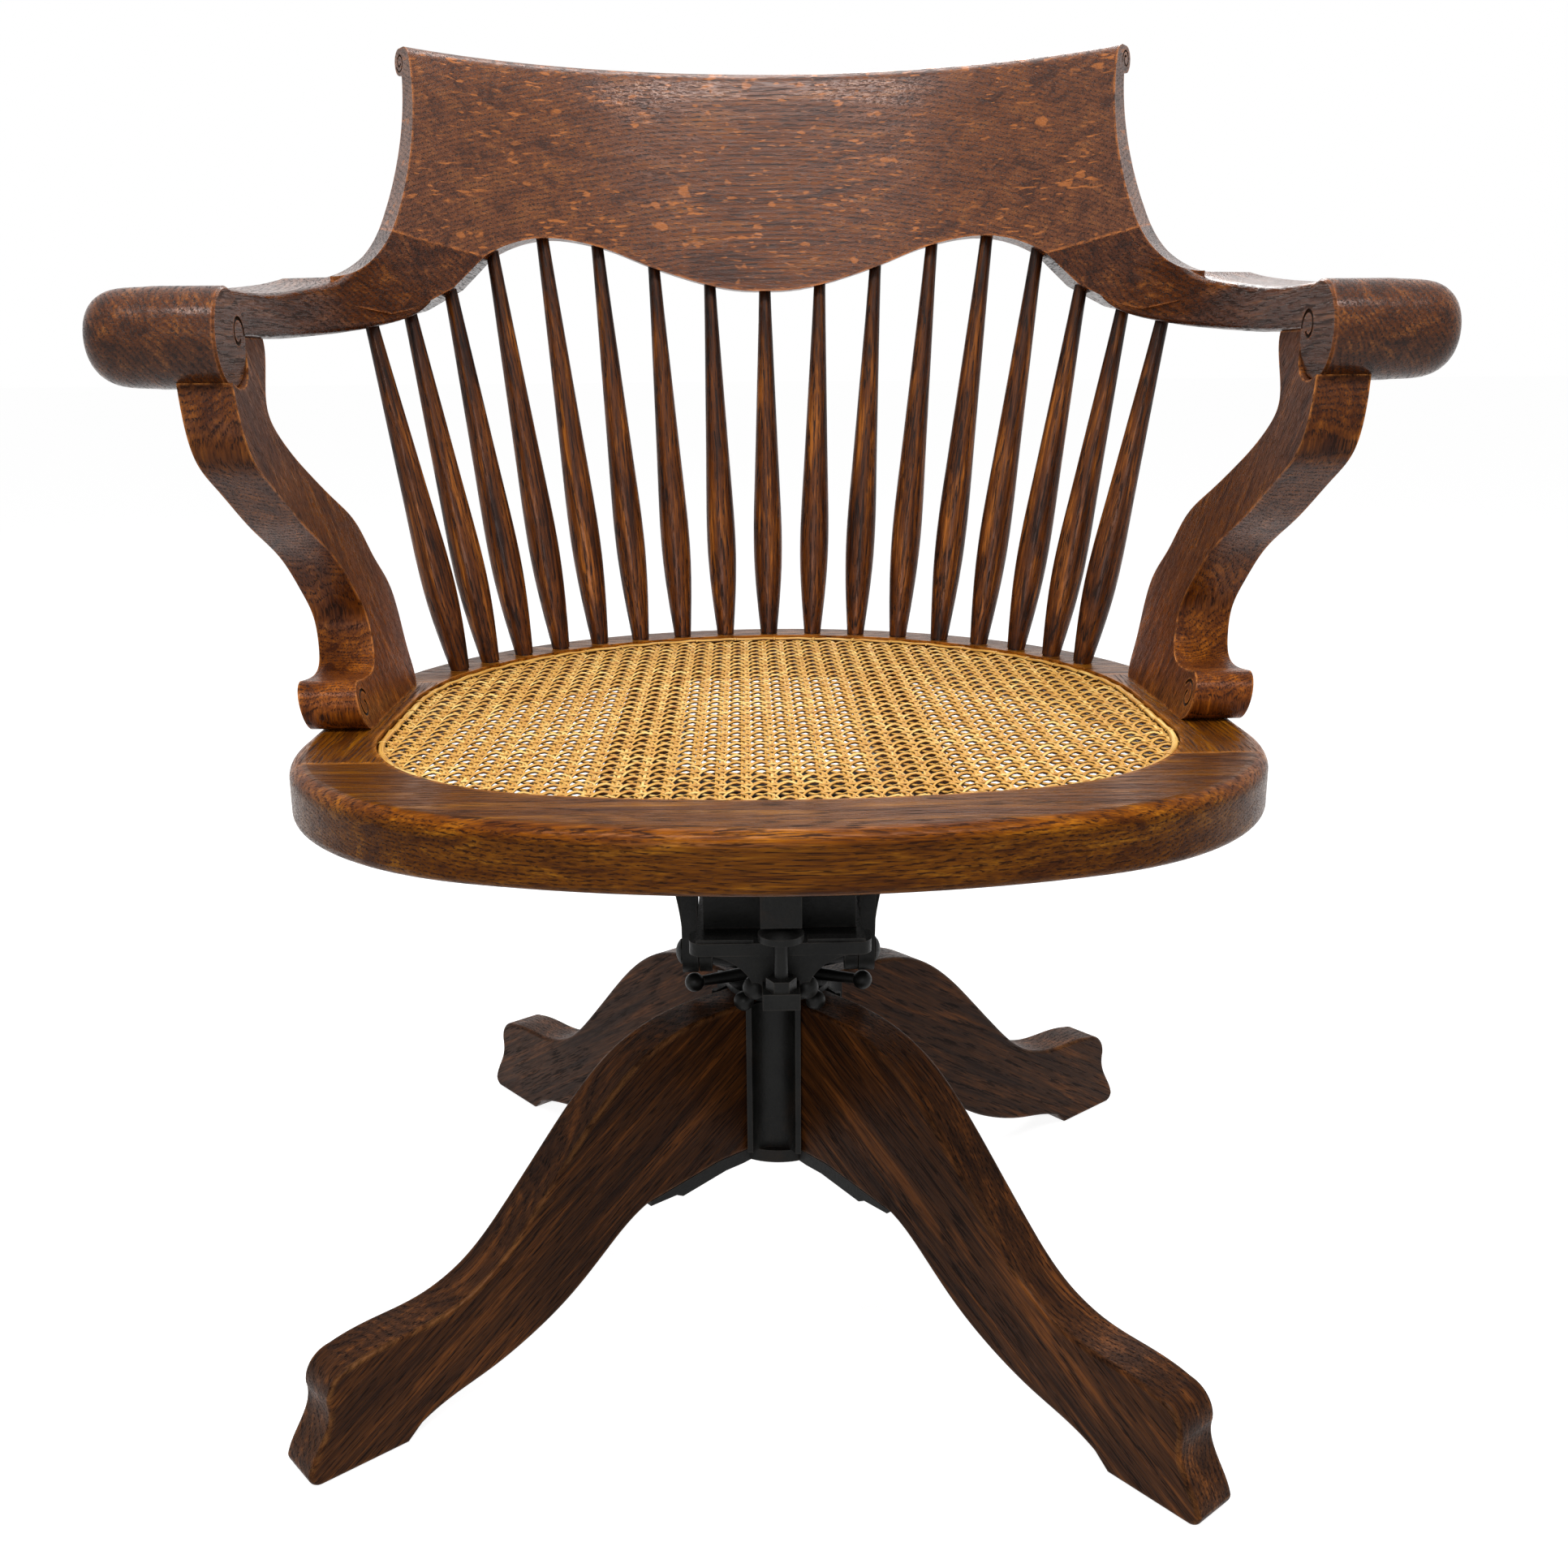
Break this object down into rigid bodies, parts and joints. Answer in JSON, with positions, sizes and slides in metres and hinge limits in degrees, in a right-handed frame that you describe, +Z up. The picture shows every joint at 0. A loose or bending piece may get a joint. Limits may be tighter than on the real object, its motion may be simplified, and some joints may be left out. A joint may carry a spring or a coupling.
{
  "type": "bankers swivel chair",
  "caption": "Oak bankers swivel chair with a bow back of turned spindles, cane seat, scrolled arms, screw lift and sprung tilt on a four-legged base.",
  "frame": {"origin": "on the floor under the middle of the chair's overall width and depth; the swivel axis stands 38 mm in front of it", "axes": "+Z up, the sitter faces -Y, +X to the right of someone who looks at the chair's front"},
  "size_m": [0.7002, 0.6385, 0.798],
  "materials": {
    "oak": "dark fumed oak under glossy varnish",
    "iron": "black paint, satin",
    "steel": "blackened steel",
    "spring_steel": "oiled dark steel",
    "cane": "natural split cane, golden, satin"
  },
  "bodies": {
    "base": {"leg_front_left": "oak", "leg_front_right": "oak", "leg_back_right": "oak", "leg_back_left": "oak", "corner_plate_front": "iron", "corner_plate_left": "iron", "corner_plate_right": "iron", "corner_plate_back": "iron", "spider_plate": "iron", "spider_screws": "steel", "hub_sleeve": "iron"},
    "wheel": {"hand_wheel": "iron"},
    "lift": {"lift_screw": "steel", "retaining_washer": "steel", "retaining_nut": "steel"},
    "yoke": {"yoke_casting": "iron", "stop_post": "iron", "stop_nut": "steel", "spring_left": "spring_steel", "spring_right": "spring_steel", "pivot_bolt_left": "steel", "pivot_bolt_right": "steel"},
    "seat": {"tilt_iron": "iron", "iron_screws": "steel", "batten_left": "oak", "batten_right": "oak", "batten_screws": "steel", "seat_rail_front": "oak", "seat_rail_left": "oak", "seat_rail_right": "oak", "seat_rail_back": "oak", "cane_panel": "cane", "cane_spline": "cane", "spindle_01": "oak", "spindle_02": "oak", "spindle_03": "oak", "spindle_04": "oak", "spindle_05": "oak", "spindle_06": "oak", "spindle_07": "oak", "spindle_08": "oak", "spindle_09": "oak", "spindle_10": "oak", "spindle_11": "oak", "spindle_12": "oak", "spindle_13": "oak", "spindle_14": "oak", "spindle_15": "oak", "spindle_16": "oak", "spindle_17": "oak", "crest_rail": "oak", "arm_left": "oak", "arm_right": "oak", "arm_support_left": "oak", "arm_support_right": "oak", "arm_dowels": "oak", "support_screws": "steel"}
  },
  "joints": [
    {"name": "height", "type": "slide", "parent": "base", "child": "lift", "axis": [0, 0, 1], "range_m": [0, 0.075]},
    {"name": "wheel_spin", "type": "hinge", "parent": "base", "child": "wheel", "pos_m": [0, -0.038, 0.205], "axis": [0, 0, 1], "range_deg": [-3380, 0]},
    {"name": "swivel", "type": "hinge", "parent": "lift", "child": "yoke", "pos_m": [0, -0.038, 0.24], "axis": [0, 0, 1], "continuous": true},
    {"name": "tilt", "type": "hinge", "parent": "yoke", "child": "seat", "pos_m": [0, -0.058, 0.225], "axis": [-1, 0, 0], "range_deg": [0, 14], "stiffness_Nm_per_rad": 220, "springref_deg": -17.19, "deforming": ["spring_left", "spring_right"]}
  ],
  "couplings": [
    {"joint": "wheel_spin", "follows": "height", "rad_per_m": -785.4}
  ]
}
